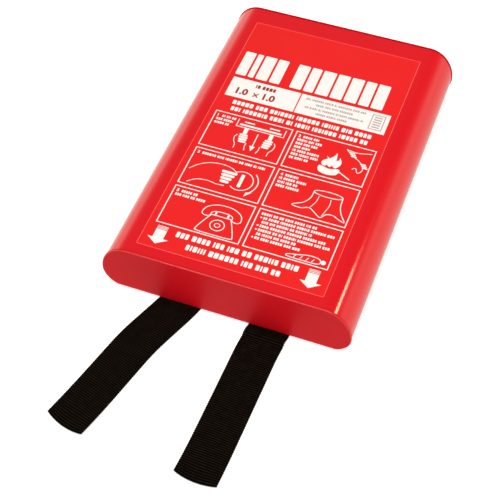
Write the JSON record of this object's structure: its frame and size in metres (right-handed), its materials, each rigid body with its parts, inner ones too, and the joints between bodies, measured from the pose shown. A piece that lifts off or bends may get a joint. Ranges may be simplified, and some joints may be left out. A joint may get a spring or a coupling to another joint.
{
  "type": "fire blanket",
  "caption": "Folded square glass-cloth blanket in a flat rounded wall case with a push-off bottom cap, a closed top cap, a front label and webbing pull tabs.",
  "frame": {"origin": "middle of the case's flat back face, on the surface that it lies or hangs against", "axes": "+Z out of the front face, +Y along the case towards its closed top end, +X to the right seen from the front with the tabs at the bottom"},
  "size_m": [0.185, 0.3995, 0.0435],
  "materials": {
    "case": "smooth gloss extruded plastic",
    "end_caps": "moulded satin plastic",
    "label": "printed film sticker",
    "glass_cloth": "woven glass-fibre cloth",
    "webbing": "ribbed black webbing",
    "thread": "sewing thread"
  },
  "bodies": {
    "case": {"case_sleeve": "case", "top_end_cap": "end_caps", "front_label": "label"},
    "blanket": {"fire_blanket": "glass_cloth", "left_tab_root": "webbing", "left_box_stitch": "thread", "right_tab_root": "webbing", "right_box_stitch": "thread"},
    "bottom_cap": {"bottom_end_cap": "end_caps"},
    "left_tab": {"left_pull_tab": "webbing"},
    "right_tab": {"right_pull_tab": "webbing"}
  },
  "joints": [
    {"name": "blanket_slide", "type": "slide", "parent": "case", "child": "blanket", "axis": [0, -1, 0], "range_m": [0, 0.27]},
    {"name": "cap_pull", "type": "slide", "parent": "blanket", "child": "bottom_cap", "axis": [0, -1, 0], "range_m": [0, 0.014]},
    {"name": "left_tab_lift", "type": "hinge", "parent": "blanket", "child": "left_tab", "pos_m": [-0.04062, -0.15851, 0.0014], "axis": [-0.9588, 0.284, 0], "range_deg": [0, 85]},
    {"name": "right_tab_lift", "type": "hinge", "parent": "blanket", "child": "right_tab", "pos_m": [0.03228, -0.15948, 0.0014], "axis": [-0.9993, 0.0384, 0], "range_deg": [0, 85]}
  ]
}
